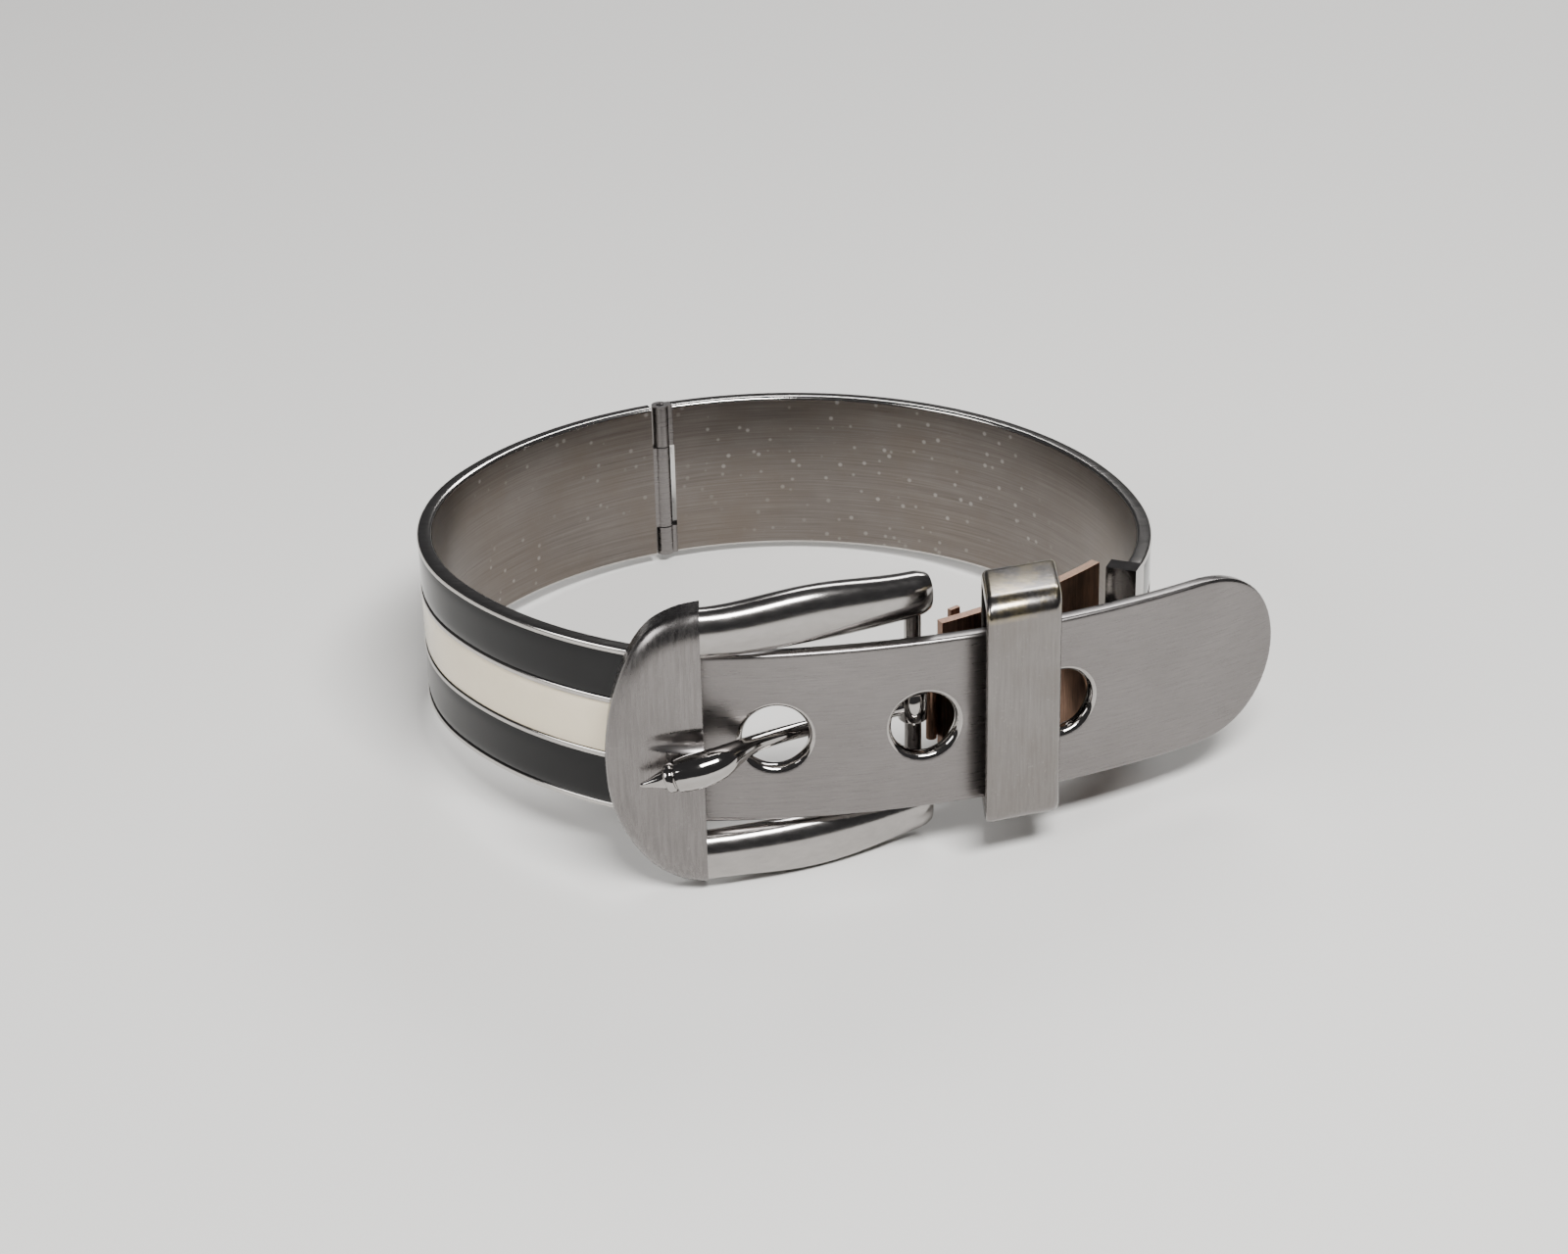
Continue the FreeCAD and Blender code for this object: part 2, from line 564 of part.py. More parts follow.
# -------------------------------------------------------- lean everything back and set the origin
lo = Vector(1e9, 1e9, 1e9)
hi = Vector(-1e9, -1e9, -1e9)
shapes = {}
for name, o in NODES:
    sh = o.Shape.copy()
    sh.Placement = Placement(Vector(0, 0, 0), tilt).multiply(sh.Placement)
    b = sh.optimalBoundingBox(False)
    lo = Vector(min(lo.x, b.XMin), min(lo.y, b.YMin), min(lo.z, b.ZMin))
    hi = Vector(max(hi.x, b.XMax), max(hi.y, b.YMax), max(hi.z, b.ZMax))
    shapes[name] = sh
shift = Vector(-(lo.x + hi.x) / 2, -(lo.y + hi.y) / 2, -lo.z)
PL = leaned(shift)
for name, o in NODES:
    o.Label = name + "_upright"
    final = doc.addObject("Part::Compound", name + "_resting")
    final.Links = [o]
    final.Label = name
    final.Placement = PL
    doc.recompute()
    if any(w in ("Invalid", "Error") for w in final.State):
        raise SystemExit("failed object: %s %s" % (name, final.State))
    s = final.Shape
    assert not s.isNull() and s.isValid(), name
    n_sol = len(s.Solids)
    assert n_sol == (2 if name in ("hinge_knuckles_outer",) else 1), (name, n_sol)
    s.exportStep(os.path.join("parts", name + ".step"))
    print("%-28s solids %d volume %.2f" % (name, n_sol, s.Volume))
print("shift", [round(v, 4) for v in shift], "size", [round(v, 3) for v in (hi - lo)])
print("pin", [round(v, 4) for v in PL.multVec(PIN)], "axis", [round(v, 5) for v in tilt.multVec(Vector(0, 0, 1))])
print("bar", [round(v, 4) for v in PL.multVec(Vector(S["bar_x"], S["bar_y"], 7.5))])
print("leaf root", [round(v, 4) for v in PL.multVec(at_z(ROOT, 7.5))])
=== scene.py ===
import bpy, bmesh, json, math
from mathutils import Vector, Matrix

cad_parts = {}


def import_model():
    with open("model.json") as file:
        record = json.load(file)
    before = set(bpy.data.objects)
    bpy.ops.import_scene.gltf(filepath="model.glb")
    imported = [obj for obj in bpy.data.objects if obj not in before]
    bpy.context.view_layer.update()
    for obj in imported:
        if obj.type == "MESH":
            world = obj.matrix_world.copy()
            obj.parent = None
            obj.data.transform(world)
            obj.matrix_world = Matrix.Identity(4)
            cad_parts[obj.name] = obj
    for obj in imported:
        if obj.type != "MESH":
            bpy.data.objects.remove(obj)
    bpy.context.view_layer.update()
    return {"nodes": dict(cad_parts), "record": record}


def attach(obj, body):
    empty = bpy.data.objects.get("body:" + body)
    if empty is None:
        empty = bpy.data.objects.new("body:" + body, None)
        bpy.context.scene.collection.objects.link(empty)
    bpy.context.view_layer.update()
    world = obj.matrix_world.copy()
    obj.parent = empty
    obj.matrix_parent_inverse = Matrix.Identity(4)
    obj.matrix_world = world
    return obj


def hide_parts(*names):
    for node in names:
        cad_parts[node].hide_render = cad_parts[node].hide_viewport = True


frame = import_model()
MM = 0.001

# ------------------------------------------------------------------ the resting attitude
LEAN = math.radians(-4.96)
R_LEAN = Matrix.Rotation(LEAN, 4, "X")
bar_joint = [j for j in frame["record"]["behaviour"]["joints"] if j["name"] == "prong_lift"][0]
BAR = Vector((10.3, -14.4, 7.5))
SHIFT = Vector(bar_joint["pos_m"]) * 1000 - R_LEAN @ BAR
PL = Matrix.Translation(SHIFT) @ R_LEAN          # upright millimetres to resting millimetres


def world(p):
    return (PL @ Vector(p)) * MM


# ------------------------------------------------------------------ plan geometry, millimetres
TURN = math.radians(-10.0)
OX, OY, HALF_L, RS, RB, RF = 0.15, 5.1, 31.4, 22.0, 31.95, 34.76
HALF = HALF_L - RS
BC = -math.sqrt((RB - RS) ** 2 - HALF ** 2)
FC = math.sqrt((RF - RS) ** 2 - HALF ** 2)
AB = math.degrees(math.atan2(HALF, -BC))
AF = math.degrees(math.atan2(HALF, FC))


def from_oval(x, y):
    return Vector((OX + math.cos(TURN) * x - math.sin(TURN) * y, OY + math.sin(TURN) * x + math.cos(TURN) * y, 0))


C_BACK, C_LEFT, C_FRONT, C_RIGHT = from_oval(0, BC), from_oval(-HALF, 0), from_oval(0, FC), from_oval(HALF, 0)
PIN_R = RB - 0.65
GAP = math.degrees(1.05 / PIN_R)
PATHS = {
    "left": [(C_BACK, RB, 119.3 + GAP - 10, 80 + AB), (C_LEFT, RS, 80 + AB, 260 - AF), (C_FRONT, RF, 260 - AF, 249.9)],
    "right": [(C_RIGHT, RS, -22.5, 80 - AB), (C_BACK, RB, 80 - AB, 109.3 - GAP)],
}


def stations(path, step, start=0.0, end=0.0):
    """Points of the path as (centre, radius, angle), drawn in by start and end millimetres."""
    out = []
    n = len(path)
    for i, (c, r, a0, a1) in enumerate(path):
        if i == 0:
            a0 += math.degrees(start / r)
        if i == n - 1:
            a1 -= math.degrees(end / r)
        k = max(2, int(round(math.radians(a1 - a0) * r / step)))
        for j in range(k + 1):
            if j == 0 and i > 0:
                continue
            out.append((c, r, math.radians(a0 + (a1 - a0) * j / k)))
    return out


# ------------------------------------------------------------------ mesh helpers
def finish_mesh(name, bm, mats, smooth=35):
    bmesh.ops.recalc_face_normals(bm, faces=bm.faces)
    me = bpy.data.meshes.new(name)
    bm.to_mesh(me)
    bm.free()
    for m in mats:
        me.materials.append(m)
    ob = bpy.data.objects.new(name, me)
    bpy.context.scene.collection.objects.link(ob)
    me.polygons.foreach_set("use_smooth", [True] * len(me.polygons))
    me.update()
    if smooth:
        me.set_sharp_from_angle(angle=math.radians(smooth))
    return ob


def rounded(poly, radii, seg=3):
    """Closed polygon with each corner rounded by its radius."""
    out = []
    n = len(poly)
    for i, p in enumerate(poly):
        p = Vector(p)
        r = radii[i]
        a, b = Vector(poly[i - 1]) - p, Vector(poly[(i + 1) % n]) - p
        la, lb = a.length, b.length
        if r <= 0:
            out.append(tuple(p))
            continue
        a.normalize(); b.normalize()
        ang = a.angle(b)
        t = min(r / math.tan(ang / 2), la * 0.49, lb * 0.49)
        r2 = t * math.tan(ang / 2)
        c = p + (a + b).normalized() * (r2 / math.sin(ang / 2))
        s, e = p + a * t - c, p + b * t - c
        tot = s.angle(e)
        sign = 1 if s.cross(e) > 0 else -1
        for k in range(seg + 1):
            th = sign * tot * k / seg
            v = Vector((s.x * math.cos(th) - s.y * math.sin(th), s.x * math.sin(th) + s.y * math.cos(th)))
            out.append(tuple(c + v))
    return out


def loft(bm, rows, caps=True, closed=False):
    """Quads between successive closed rings of the same count."""
    vs = [[bm.verts.new(world(p)) for p in row] for row in rows]
    n = len(rows[0])
    m = len(vs)
    for i in range(m if closed else m - 1):
        a, b = vs[i], vs[(i + 1) % m]
        for j in range(n):
            bm.faces.new((a[j], a[(j + 1) % n], b[(j + 1) % n], b[j]))
    if caps and not closed:
        bm.faces.new(vs[0][::-1])
        bm.faces.new(vs[-1])
    return vs


def strip_rows(path, profile, step=0.7, start=0.0, end=0.0):
    rows = []
    for c, r, a in stations(path, step, start, end):
        d = Vector((math.cos(a), math.sin(a), 0))
        rows.append([c + d * (r - o) + Vector((0, 0, z)) for o, z in profile])
    return rows


# ------------------------------------------------------------------ materials
def mat_new(name):
    m = bpy.data.materials.new(name)
    m.use_nodes = True
    nt = m.node_tree
    bsdf = [n for n in nt.nodes if n.type == "BSDF_PRINCIPLED"][0]
    return m, nt, bsdf


def N(nt, kind, **kw):
    n = nt.nodes.new(kind)
    for k, v in kw.items():
        if hasattr(n, k):
            setattr(n, k, v)
        else:
            n.inputs[k].default_value = v
    return n


def coords(nt, scale, rot=(0, 0, 0)):
    """Object coordinates with the lean taken out, turned by rot, then scaled."""
    g = N(nt, "ShaderNodeTexCoord")
    up_ = N(nt, "ShaderNodeMapping")
    up_.inputs["Rotation"].default_value = (-LEAN + rot[0], rot[1], rot[2])
    mp = N(nt, "ShaderNodeMapping")
    mp.inputs["Scale"].default_value = scale
    nt.links.new(g.outputs["Object"], up_.inputs["Vector"])
    nt.links.new(up_.outputs["Vector"], mp.inputs["Vector"])
    return mp.outputs["Vector"]


def ramp(nt, fac, stops):
    r = N(nt, "ShaderNodeValToRGB")
    nt.links.new(fac, r.inputs["Fac"])
    els = r.color_ramp.elements
    while len(els) < len(stops):
        els.new(0.5)
    for e, (p, c) in zip(els, stops):
        e.position = p
        e.color = c if len(c) == 4 else (*c, 1)
    return r.outputs["Color"]


def grey(v):
    return (v, v, v, 1)


def mix(nt, fac, a, b, kind="MIX"):
    m = N(nt, "ShaderNodeMix", data_type="RGBA", blend_type=kind)
    for sock, val in ((m.inputs["Factor"], fac), (m.inputs[6], a), (m.inputs[7], b)):
        if isinstance(val, (int, float)):
            sock.default_value = val
        elif isinstance(val, tuple):
            sock.default_value = val
        else:
            nt.links.new(val, sock)
    return m.outputs[2]


def metal(name, light, dark, rough_lo, rough_hi, brush=(400, 9000, 9000), rot=(0, 0, 0), scratch=0.5, bump=0.15,
          speckle=0.0, tarnish=0.0, wear=False):
    """Plated metal: fine brushing along one axis, sparse scratches, soft cloudiness, optional speckles."""
    m, nt, b = mat_new(name)
    b.inputs["Metallic"].default_value = 1.0
    vec = coords(nt, brush, rot)
    lines = N(nt, "ShaderNodeTexNoise", Scale=1.0, Detail=3.0, Roughness=0.6)
    nt.links.new(vec, lines.inputs["Vector"])
    cloud = N(nt, "ShaderNodeTexNoise", Scale=180.0, Detail=4.0, Roughness=0.6)
    nt.links.new(coords(nt, (1, 1, 1)), cloud.inputs["Vector"])
    base = mix(nt, ramp(nt, lines.outputs["Fac"], [(0.3, grey(0)), (0.7, grey(1))]), (*dark, 1), (*light, 1))
    base = mix(nt, ramp(nt, cloud.outputs["Fac"], [(0.35, grey(0)), (0.7, grey(0.35))]), base, (*[c * 0.8 for c in dark], 1))
    # long sparse scratches
    sv = coords(nt, (260, 5200, 5200), (0.25, 0.1, 0.5))
    sc = N(nt, "ShaderNodeTexNoise", Scale=1.0, Detail=1.0)
    nt.links.new(sv, sc.inputs["Vector"])
    scr = ramp(nt, sc.outputs["Fac"], [(0.70, grey(0)), (0.735, grey(scratch)), (0.76, grey(0))])
    base = mix(nt, scr, base, (*[min(1, c * 1.5) for c in light], 1))
    if tarnish:
        tn = N(nt, "ShaderNodeTexNoise", Scale=90.0, Detail=6.0, Roughness=0.7)
        nt.links.new(coords(nt, (1, 1, 1)), tn.inputs["Vector"])
        base = mix(nt, ramp(nt, tn.outputs["Fac"], [(0.45, grey(0)), (0.75, grey(tarnish))]), base, (0.20, 0.15, 0.10, 1))
    if wear:                                      # warm rubbed plating along the top bevel
        sep = N(nt, "ShaderNodeSeparateXYZ")
        nt.links.new(coords(nt, (40, 40, 40)), sep.inputs["Vector"])
        high = ramp(nt, sep.outputs["Z"], [(0.80, grey(0)), (0.835, grey(1)), (0.868, grey(1)), (0.885, grey(0))])
        wn = N(nt, "ShaderNodeTexNoise", Scale=420.0, Detail=4.0, Roughness=0.7)
        nt.links.new(coords(nt, (1, 1, 1)), wn.inputs["Vector"])
        spots = ramp(nt, wn.outputs["Fac"], [(0.44, grey(0)), (0.58, grey(0.75))])
        base = mix(nt, mix(nt, 1.0, high, spots, "MULTIPLY"), base, (0.46, 0.38, 0.22, 1))
    rough = ramp(nt, lines.outputs["Fac"], [(0.2, grey(rough_lo)), (0.8, grey(rough_hi))])
    if speckle:
        vo = N(nt, "ShaderNodeTexVoronoi", Scale=800.0)
        nt.links.new(coords(nt, (1, 1, 1)), vo.inputs["Vector"])
        where = N(nt, "ShaderNodeTexNoise", Scale=60.0, Detail=2.0)
        nt.links.new(coords(nt, (1, 1, 1)), where.inputs["Vector"])
        dots = ramp(nt, vo.outputs["Distance"], [(0.0, grey(1)), (0.10, grey(1)), (0.20, grey(0))])
        area = ramp(nt, where.outputs["Fac"], [(0.48, grey(0)), (0.60, grey(speckle))])
        fac = mix(nt, 1.0, dots, area, "MULTIPLY")
        base = mix(nt, fac, base, (0.72, 0.70, 0.66, 1))
        rough = mix(nt, fac, rough, grey(0.6))
    nt.links.new(base, b.inputs["Base Color"])
    nt.links.new(rough, b.inputs["Roughness"])
    bp = N(nt, "ShaderNodeBump", Strength=bump, Distance=0.00004)
    nt.links.new(mix(nt, 0.5, lines.outputs["Fac"], sc.outputs["Fac"]), bp.inputs["Height"])
    nt.links.new(bp.outputs["Normal"], b.inputs["Normal"])
    return m


SATIN = metal("satin_plate", (0.235, 0.22, 0.215), (0.195, 0.183, 0.179), 0.25, 0.33, brush=(420, 420, 9000), scratch=0.22,
              bump=0.06)
CRES = metal("satin_crescent", (0.25, 0.235, 0.229), (0.185, 0.173, 0.169), 0.22, 0.32, brush=(3600, 3600, 250),
             scratch=0.3, bump=0.035)
KEEP = metal("satin_keeper", (0.24, 0.226, 0.218), (0.19, 0.178, 0.171), 0.18, 0.28, brush=(5000, 5000, 300),
             scratch=0.6, bump=0.08, tarnish=0.12, wear=True)
POLISH = metal("polished", (0.42, 0.40, 0.385), (0.37, 0.352, 0.338), 0.05, 0.11, brush=(900, 2500, 2500), scratch=0.2,
               bump=0.03)
ARM = metal("soft_polished", (0.40, 0.382, 0.368), (0.35, 0.333, 0.32), 0.13, 0.20, brush=(500, 2500, 2500), scratch=0.2,
            bump=0.03)
RAIL = metal("polished_rail", (0.55, 0.53, 0.505), (0.43, 0.41, 0.39), 0.08, 0.18, scratch=0.15, bump=0.04)
INNER = metal("satin_inside", (0.205, 0.184, 0.169), (0.14, 0.124, 0.112), 0.26, 0.40, brush=(110, 110, 6500),
              scratch=0.2, bump=0.10, speckle=0.28, tarnish=0.25)
# worn brass tongue colour, darkened overall as painted shade for the shadow it lies in behind the plate and inside the
# keeper
TONGUE_BRASS_WITH_PAINTED_SHADE = metal("worn_tongue_painted_shade", (0.33, 0.20, 0.14), (0.15, 0.09, 0.065), 0.26, 0.42, brush=(7000, 7000, 500), scratch=0.3,
               tarnish=0.5)


def enamel(name, colour, dark, rough, spec, coat):
    m, nt, b = mat_new(name)
    n = N(nt, "ShaderNodeTexNoise", Scale=350.0, Detail=5.0, Roughness=0.65)
    nt.links.new(coords(nt, (1, 1, 1)), n.inputs["Vector"])
    nt.links.new(mix(nt, ramp(nt, n.outputs["Fac"], [(0.35, grey(0)), (0.7, grey(1))]), (*colour, 1), (*dark, 1)),
                 b.inputs["Base Color"])
    w = N(nt, "ShaderNodeTexNoise", Scale=900.0, Detail=3.0)
    nt.links.new(coords(nt, (1, 1, 1)), w.inputs["Vector"])
    nt.links.new(ramp(nt, w.outputs["Fac"], [(0.3, grey(rough)), (0.8, grey(rough * 2.0))]), b.inputs["Roughness"])
    b.inputs["Specular IOR Level"].default_value = spec
    b.inputs["Coat Weight"].default_value = coat
    b.inputs["Coat Roughness"].default_value = 0.04
    bp = N(nt, "ShaderNodeBump", Strength=0.06, Distance=0.0001)
    big = N(nt, "ShaderNodeTexNoise", Scale=220.0, Detail=1.0)
    nt.links.new(coords(nt, (1, 1, 1)), big.inputs["Vector"])
    nt.links.new(big.outputs["Fac"], bp.inputs["Height"])
    nt.links.new(bp.outputs["Normal"], b.inputs["Normal"])
    return m


BLACK = enamel("black_enamel", (0.002, 0.002, 0.0023), (0.004, 0.004, 0.0045), 0.04, 0.30, 0.0)
CREAM = enamel("cream_enamel", (0.80, 0.70, 0.52), (0.765, 0.665, 0.49), 0.10, 0.5, 0.4)

# ------------------------------------------------------------------ bands and enamel
band_poly = [(1.3, 0), (1.3, 15), (0, 15), (0, 14.4), (0.45, 14.4), (0.45, 10.35), (0, 10.35), (0, 9.75),
             (0.45, 9.75), (0.45, 5.25), (0, 5.25), (0, 4.65), (0.45, 4.65), (0.45, 0.6), (0, 0.6), (0, 0)]
band_rad = [0.3, 0.3, 0.32, 0.15, 0, 0, 0.24, 0.24, 0, 0, 0.24, 0.24, 0, 0, 0.15, 0.32]
profile = rounded(band_poly, band_rad, 4)
border = rounded([(0.5, 0.1), (0.5, 14.9), (0.0, 14.9), (0.0, 0.1)], [0, 0, 0.2, 0.2], 3)


def is_inner(prof, j):
    o0, o1 = prof[j][0], prof[(j + 1) % len(prof)][0]
    return o0 > 1.28 and o1 > 1.28


for side, body in (("left", "buckle_half"), ("right", "right_half")):
    path = PATHS[side]
    bm = bmesh.new()
    rows = strip_rows(path, profile)
    loft(bm, rows)
    bm.faces.ensure_lookup_table()
    n = len(profile)
    for i in range(len(rows) - 1):
        for j in range(n):
            bm.faces[i * n + j].material_index = 1 if is_inner(profile, j) else 0
    total = sum(math.radians(a1 - a0) * r for c, r, a0, a1 in path)
    for s, e in ((0.0, total - 0.8), (total - 0.8, 0.0)):
        c, r, a0, a1 = path[0] if s == 0 else path[-1]
        w = math.degrees(0.8 / r)
        sub = [(c, r, a0, a0 + w)] if s == 0 else [(c, r, a1 - w, a1)]
        loft(bm, strip_rows(sub, border, 0.3))
    ob = finish_mesh(side + "_band_shell", bm, [RAIL, INNER])
    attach(ob, body)
    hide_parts(side + "_band")
    for nm, z0, z1, mat, slot in (("black_enamel_lower", 0.6, 4.65, BLACK, "black_enamel"),
                                  ("cream_enamel", 5.25, 9.75, CREAM, "cream_enamel"),
                                  ("black_enamel_upper", 10.35, 14.4, BLACK, "black_enamel")):
        h = z1 - z0
        prof = [(0.46, z0), (0.46, z1)]
        for k in range(13):
            t = k / 12
            u = abs(2 * t - 1)
            prof.append((0.05 + 0.10 * u ** 6, z1 - 0.01 - (h - 0.02) * t))
        bm = bmesh.new()
        loft(bm, strip_rows(path, prof, 0.7, 0.78, 0.78))
        ob = finish_mesh(side + "_" + nm + "_fill", bm, [mat], 50)
        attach(ob, body)
        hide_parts(side + "_" + nm)

# ------------------------------------------------------------------ strap plate
PCX, PCY, PR_ = -4.6, 55.2, 75.0


def on_plate(deg, v=0.0, z=0.0):
    a = math.radians(deg)
    return Vector((PCX + (PR_ + v) * math.sin(a), PCY - (PR_ + v) * math.cos(a), z))


def slice_x(bm, x0, x1, step):
    x = x0
    while x < x1:
        bmesh.ops.bisect_plane(bm, geom=bm.verts[:] + bm.edges[:] + bm.faces[:], plane_co=(x, 0, 0), plane_no=(1, 0, 0),
                               dist=0.0005)
        x += step


# outline in (arc length from the axis at 0 degrees, z)
s0, s1 = math.radians(-3.9) * PR_, math.radians(37.6) * PR_
tl = 9.0
EC = 1.3
outline = [(s0 + EC + EC * math.cos(math.radians(t)), EC + EC * math.sin(math.radians(t))) for t in range(180, 271, 15)]
outline.append((s1 - tl, 0))
for k in range(1, 40):
    a = math.pi * k / 40 - math.pi / 2
    outline.append((s1 - tl + (tl - 0.25) * math.cos(a) ** 0.85, 7.5 + 7.5 * math.sin(a)))
outline.append((s1 - tl, 15))
outline += [(s0 + EC + EC * math.cos(math.radians(t)), 15 - EC + EC * math.sin(math.radians(t))) for t in range(90, 181, 15)]
RIMS = [(math.radians(d) * PR_, 7.5) for d in (2.87, 12.1, 21.1)]
bm = bmesh.new()
EDGE = [(1.1, 0.0), (0.5, 0.0), (0.22, 0.0), (0.18, -0.02), (0.11, -0.06), (0.05, -0.13), (0.01, -0.2), (0.0, -0.26), (0.0, -0.98),
        (0.03, -1.09), (0.1, -1.17), (0.2, -1.2), (0.5, -1.2), (1.1, -1.2)]
HOLE = [(4.2, 0.0), (3.6, 0.0), (3.35, -0.012), (3.15, -0.05), (3.0, -0.11), (2.88, -0.2), (2.79, -0.32), (2.73, -0.46),
        (2.7, -0.62), (2.7, -1.02), (2.74, -1.12), (2.83, -1.18), (2.95, -1.2), (3.55, -1.2)]
dense = []
for i, p in enumerate(outline):
    a_, b_ = Vector(p), Vector(outline[(i + 1) % len(outline)])
    k = max(1, int((b_ - a_).length / 0.6))
    dense += [tuple(a_.lerp(b_, j / k)) for j in range(k)]
turn = sum(dense[i][0] * dense[(i + 1) % len(dense)][1] - dense[(i + 1) % len(dense)][0] * dense[i][1]
           for i in range(len(dense)))


def inset(poly, d):
    out = []
    m = len(poly)
    for i in range(m):
        a_, b_, c_ = Vector(poly[i - 1]), Vector(poly[i]), Vector(poly[(i + 1) % m])
        u, w_ = (b_ - a_).normalized(), (c_ - b_).normalized()
        t_ = (u + w_).normalized()
        k = 1 / max(0.5, math.sqrt((1 + u.dot(w_)) / 2))
        nrm = Vector((-t_.y, t_.x)) * (1 if turn > 0 else -1)
        out.append(b_ + nrm * d * k)
    return out


def ring_faces(rings_, mat):
    m = len(rings_[0])
    for a_, b_ in zip(rings_, rings_[1:]):
        for j in range(m):
            f = bm.faces.new((a_[j], a_[(j + 1) % m], b_[(j + 1) % m], b_[j]))
            f.material_index = mat


edge_rings = [[bm.verts.new((q.x, q.y, d)) for q in inset(dense, o)] for o, d in EDGE]
ring_faces(edge_rings, 0)
hole_rings = []
for cx, cz in RIMS:
    hr = [[bm.verts.new((cx + r * math.cos(2 * math.pi * j / 64), cz + r * math.sin(2 * math.pi * j / 64), d))
           for j in range(64)] for r, d in HOLE]
    ring_faces(hr[:4], 0)
    ring_faces(hr[3:-1], 1)
    ring_faces(hr[-2:], 0)
    hole_rings.append(hr)
for pick in (0, -1):
    loops = [edge_rings[pick]] + [hr[pick] for hr in hole_rings]
    es = []
    for lp in loops:
        for j in range(len(lp)):
            e_ = bm.edges.get((lp[j], lp[(j + 1) % len(lp)]))
            es.append(e_)
    bmesh.ops.triangle_fill(bm, use_beauty=True, use_dissolve=False, edges=es)
bmesh.ops.recalc_face_normals(bm, faces=bm.faces)
slice_x(bm, s0 + 0.6, s1 - 0.3, 0.9)
for v in bm.verts:
    v.co = world(on_plate(math.degrees(v.co.x / PR_), v.co.z, v.co.y))
plate = finish_mesh("strap_plate_face", bm, [SATIN, POLISH], 40)
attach(plate, "buckle_half")
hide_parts("strap_plate")

# ------------------------------------------------------------------ keeper loop
kd = math.radians(17.86)
KN, KT = Vector((math.sin(kd), -math.cos(kd), 0)), Vector((math.cos(kd), math.sin(kd), 0))
K0 = on_plate(17.86)
outer = rounded([(-4.6, -1.5), (2.7, -1.5), (2.7, 18.9), (-4.6, 18.9)], [1.7] * 4, 8)
inner = rounded([(-3.4, 0.0), (1.5, 0.0), (1.5, 17.7), (-3.4, 17.7)], [0.5] * 4, 8)


def keeper_point(v, z, x):
    base = K0 + KN * v
    u = (x - base.x) / KT.x
    return base + KT * u + Vector((0, 0, z))


XL, XR, KB = 15.9, 22.0, 0.5
cv = Vector((-0.95, 8.7))
rows = []


def shrink(poly, d):
    out = []
    n = len(poly)
    for i in range(n):
        a, b, c = Vector(poly[i - 1]), Vector(poly[i]), Vector(poly[(i + 1) % n])
        t = ((b - a).normalized() + (c - b).normalized()).normalized()
        nrm = Vector((-t.y, t.x))
        out.append(tuple(b + nrm * d))
    return out


area = sum(outer[i][0] * outer[(i + 1) % len(outer)][1] - outer[(i + 1) % len(outer)][0] * outer[i][1] for i in range(len(outer)))
sgn = 1 if area > 0 else -1
steps = 5
ring = []
for k in range(steps + 1):                      # left bevel, outer surface
    a = math.pi / 2 * k / steps
    ring.append((shrink(outer, sgn * KB * (1 - math.sin(a))), XL + KB * (1 - math.cos(a))))
for k in range(steps + 1):
    a = math.pi / 2 * k / steps
    ring.append((shrink(outer, sgn * KB * (1 - math.cos(a))), XR - KB * (1 - math.sin(a))))
rows = [[keeper_point(v, z, x) for v, z in poly] for poly, x in ring]
ib = 0.15
rows.append([keeper_point(v, z, XR) for v, z in shrink(inner, -sgn * ib)])
rows.append([keeper_point(v, z, XR - ib) for v, z in inner])
rows.append([keeper_point(v, z, XL + ib) for v, z in inner])
rows.append([keeper_point(v, z, XL) for v, z in shrink(inner, -sgn * ib)])
bm = bmesh.new()
loft(bm, rows, closed=True)
keeper = finish_mesh("keeper_loop_band", bm, [KEEP], 40)
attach(keeper, "buckle_half")
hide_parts("keeper_loop")

# ------------------------------------------------------------------ buckle arms
for label, sign in (("buckle_arm_upper", 1), ("buckle_arm_lower", -1)):
    x0, y0, x1, y1 = -6.6, -20.75, 11.5, -13.65
    rows = []
    M = 40
    for k in range(M + 1):
        s = k / M
        x = x0 + (x1 - x0) * s
        y = y0 + (y1 - y0) * (0.55 * s + 0.45 * s * s)
        slope = (y1 - y0) * (0.55 + 0.9 * s) / (x1 - x0)
        t = Vector((1, slope * min(1, s * 6), 0)).normalized()
        bulge = 0.7 * math.sin(math.pi * s) ** 2
        zc = 7.5 + sign * (7.5 + 2.5 + bulge / 2 - 0.25 * s)
        tall = 4.2 + bulge - 0.5 * s
        deep = 2.7 * (1 + 0.1 * math.sin(math.pi * s) - 0.1 * s)
        if k == M:
            tall, deep = tall - 0.5, deep - 0.5
        if k == M - 1:
            tall, deep = tall - 0.12, deep - 0.12
        nrm = Vector((t.y, -t.x, 0))
        row = []
        for j in range(40):
            a = 2 * math.pi * j / 40
            ca, sa = math.cos(a), math.sin(a)
            e1, e2 = (0.95, 0.95) if ca > 0 else (0.55, 0.75)
            row.append(Vector((x, y, zc)) + nrm * (abs(ca) ** e1 * (1 if ca > 0 else -1) * deep / 2)
                       + Vector((0, 0, abs(sa) ** e2 * (1 if sa > 0 else -1) * tall / 2)))
        rows.append(row)
    bm = bmesh.new()
    loft(bm, rows)
    ob = finish_mesh(label + "_bar", bm, [ARM], 50)
    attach(ob, "buckle_half")
    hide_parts(label)

